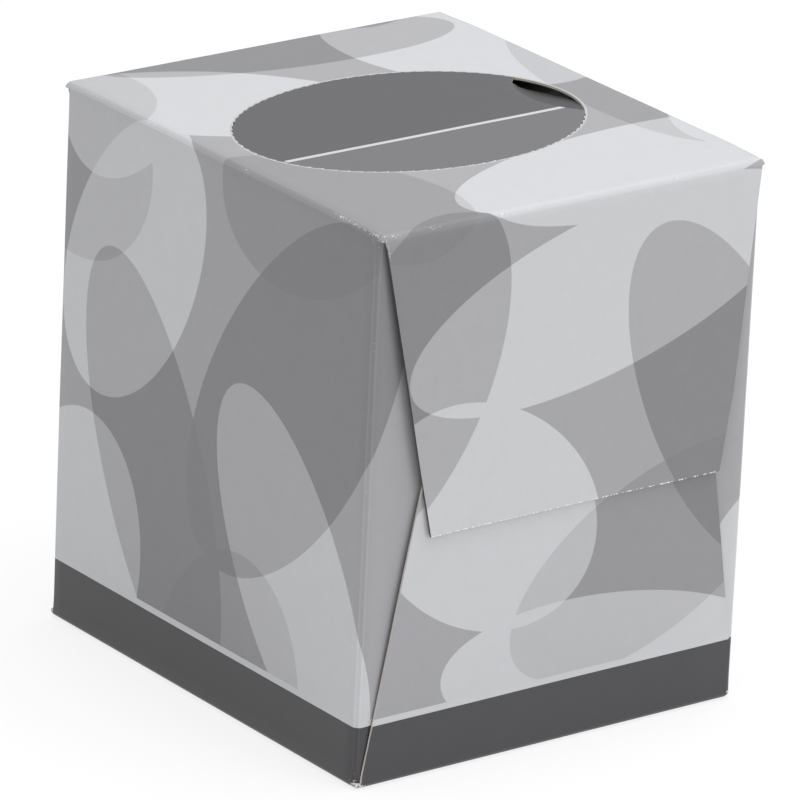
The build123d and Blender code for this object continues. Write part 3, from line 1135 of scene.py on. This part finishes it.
# %% Sweep a sheet's section along every copy
as_curve = wired(clip_tree, "GeometryNodeMeshToCurve", {"Mesh": moved.outputs[0]})
facing = {"Curve": as_curve.outputs[0], "Normal": (0, 1, 0)}
face_side = wired(clip_tree, "GeometryNodeSetCurveNormal", facing, mode="FREE")
thickness = times(clip_tree, source.outputs["Pitch"], PLY_SHARE)
section = {"Width": source.outputs["Depth"], "Height": thickness}
strip = wired(clip_tree, "GeometryNodeCurvePrimitiveQuadrilateral", section)
sweeping = {"Curve": face_side.outputs[0], "Profile Curve": strip.outputs[0], "Fill Caps": True}
swept = wired(clip_tree, "GeometryNodeCurveToMesh", sweeping)
painted(clip_tree, swept.outputs[0], tissue_finish, result)

# %% Grow the clip
CLIP_CLEAR, LOOSE = 1 * MM, 0.45 * MM
clip = grow(
    new_object("tissue_clip", path_mesh),
    clip_tree,
    Folds=FOLDS,
    Pitch=(clip_half - slot_half) / FOLDS,
    Depth=clip_high.y - clip_low.y - CLIP_CLEAR,
    Loose=LOOSE,
)
print("tissue clip:", len(clip.data.polygons), "faces", [round(v / MM, 1) for v in clip.dimensions])

# %% Hang the pieces on the frame
for piece, slot_name in (
    (carton, "carton_board"), (nick_tufts, "carton_board"), (edge_tufts, "carton_board"), (clip, "tissue"),
):
    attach(piece, "root")
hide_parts("carton")
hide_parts("tissue_stack")

# %% [markdown]
# ## Floor, light and camera
#
# A pale floor, soft light from above and from the front, and a long lens that looks slightly down.

# %% Floor and world
FLOOR_HALF, FLOOR_Z = 4.0, -0.1 * MM
FLOOR_GLOW = 0.8
AMBIENT = 0.86
floor_mesh = bpy.data.meshes.new("floor")
floor_corners = [(x * FLOOR_HALF, y * FLOOR_HALF, FLOOR_Z) for x, y in ((-1, -1), (1, -1), (1, 1), (-1, 1))]
floor_mesh.from_pydata(floor_corners, [], [(0, 1, 2, 3)])
floor = new_object("floor", floor_mesh)
floor_finish = bpy.data.materials.new("Pale floor")
ground = fresh_tree(floor_finish)
matt = add(ground, "ShaderNodeBsdfDiffuse")
matt.inputs["Color"].default_value = (0.9, 0.9, 0.9, 1)
glow = add(ground, "ShaderNodeEmission")
path = add(ground, "ShaderNodeLightPath")
seen = maths(ground, "MAXIMUM", path.outputs["Is Camera Ray"], path.outputs["Is Glossy Ray"])
seen = maths(ground, "MAXIMUM", seen, path.outputs["Is Transmission Ray"])
blend = add(ground, "ShaderNodeMixShader")
feed(ground, blend.inputs[0], times(ground, seen, FLOOR_GLOW))
ground.links.new(matt.outputs[0], blend.inputs[1])
ground.links.new(glow.outputs[0], blend.inputs[2])
shown(ground, blend)
floor_mesh.materials.append(floor_finish)

world = bpy.data.worlds.new("Studio")
bpy.context.scene.world = world
sky = fresh_tree(world)
dim = add(sky, "ShaderNodeBackground")
dim.inputs["Strength"].default_value = AMBIENT
white = add(sky, "ShaderNodeBackground")
path = add(sky, "ShaderNodeLightPath")
choose = add(sky, "ShaderNodeMixShader")
feed(sky, choose.inputs[0], path.outputs["Is Camera Ray"])
sky.links.new(dim.outputs[0], choose.inputs[1])
sky.links.new(white.outputs[0], choose.inputs[2])
shown(sky, choose, "World")


# %% Lamps
def soft_lamp(name, place, target, size, power):
    lamp = bpy.data.lights.new(name, "AREA")
    lamp.shape = "SQUARE"
    lamp.size = size
    lamp.energy = power
    holder = new_object(name, lamp)
    holder.location = place
    holder.rotation_euler = (Vector(target) - Vector(place)).to_track_quat("-Z", "Y").to_euler()


middle_place = Vector((0, 0, height / 2))
soft_lamp("overhead", (0.15, -0.1, 1.3), middle_place, 1.0, 11.5)
soft_lamp("front_right", (0.7, -1.4, 0.7), middle_place, 0.9, 5.0)

# %% Camera
AZIMUTH, ELEVATION, ROLL = math.radians(-37.41), math.radians(20.57), math.radians(2.64)
DISTANCE = 1.8685
FOCAL_LENGTH, SENSOR = 383.8, 36
target = Vector((-4.0, -5.3, 63.25)) * MM
level_part = math.cos(ELEVATION)
back = Vector((math.sin(AZIMUTH) * level_part, -math.cos(AZIMUTH) * level_part, math.sin(ELEVATION)))
right = Vector((math.cos(AZIMUTH), math.sin(AZIMUTH), 0))
up = back.cross(right)
rolled_right = math.cos(ROLL) * right + math.sin(ROLL) * up
rolled_up = math.cos(ROLL) * up - math.sin(ROLL) * right
camera_data = bpy.data.cameras.new("camera")
camera_data.lens = FOCAL_LENGTH
camera_data.sensor_width = SENSOR
camera_data.clip_start, camera_data.clip_end = 0.05, 50
camera = new_object("camera", camera_data)
turn = Matrix((rolled_right, rolled_up, back)).transposed()
camera.matrix_world = Matrix.Translation(target + DISTANCE * back) @ turn.to_4x4()
bpy.context.scene.camera = camera
bpy.context.scene.view_settings.view_transform = "Standard"
